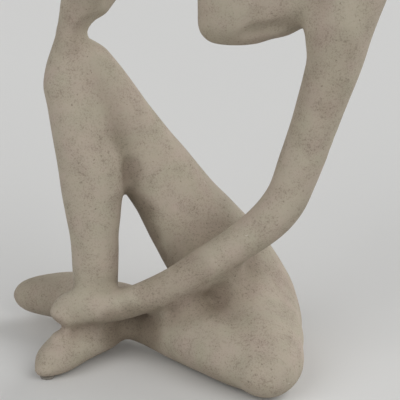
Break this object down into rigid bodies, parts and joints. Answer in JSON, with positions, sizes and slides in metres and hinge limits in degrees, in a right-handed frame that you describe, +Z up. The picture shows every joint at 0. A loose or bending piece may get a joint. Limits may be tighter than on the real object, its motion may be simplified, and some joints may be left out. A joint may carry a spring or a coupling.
{
  "type": "figurine",
  "caption": "Seated abstract thinker figurine in sandstone-effect resin: a raised knee props the elbow and head while the near arm reaches round to hold the ankle.",
  "frame": {"origin": "centre of the seat pad's underside, on the surface that the figurine rests on", "axes": "+Z up, +X towards the back of the hips, -X towards the raised shin and the hands, -Y towards the side that the picture shows, with the crossed knee"},
  "size_m": [0.163, 0.0975, 0.2659],
  "materials": {
    "sandstone_resin": "matte cast resin filled with stone powder, fine dark speckles",
    "rod_steel": "drawn steel rod",
    "felt": "pressed self-adhesive felt"
  },
  "bodies": {
    "root": {"hips_and_raised_leg": "sandstone_resin", "crossed_leg": "sandstone_resin", "torso": "sandstone_resin", "reaching_arm": "sandstone_resin", "head": "sandstone_resin", "propping_arm": "sandstone_resin", "reaching_arm_rod": "rod_steel", "far_shoulder_rod": "rod_steel", "elbow_rod": "rod_steel", "neck_rod": "rod_steel", "hip_dowels": "rod_steel", "hand_pin": "rod_steel", "chin_pin": "rod_steel", "seat_pad": "felt", "knee_pad": "felt", "toe_pad": "felt"}
  },
  "joints": []
}
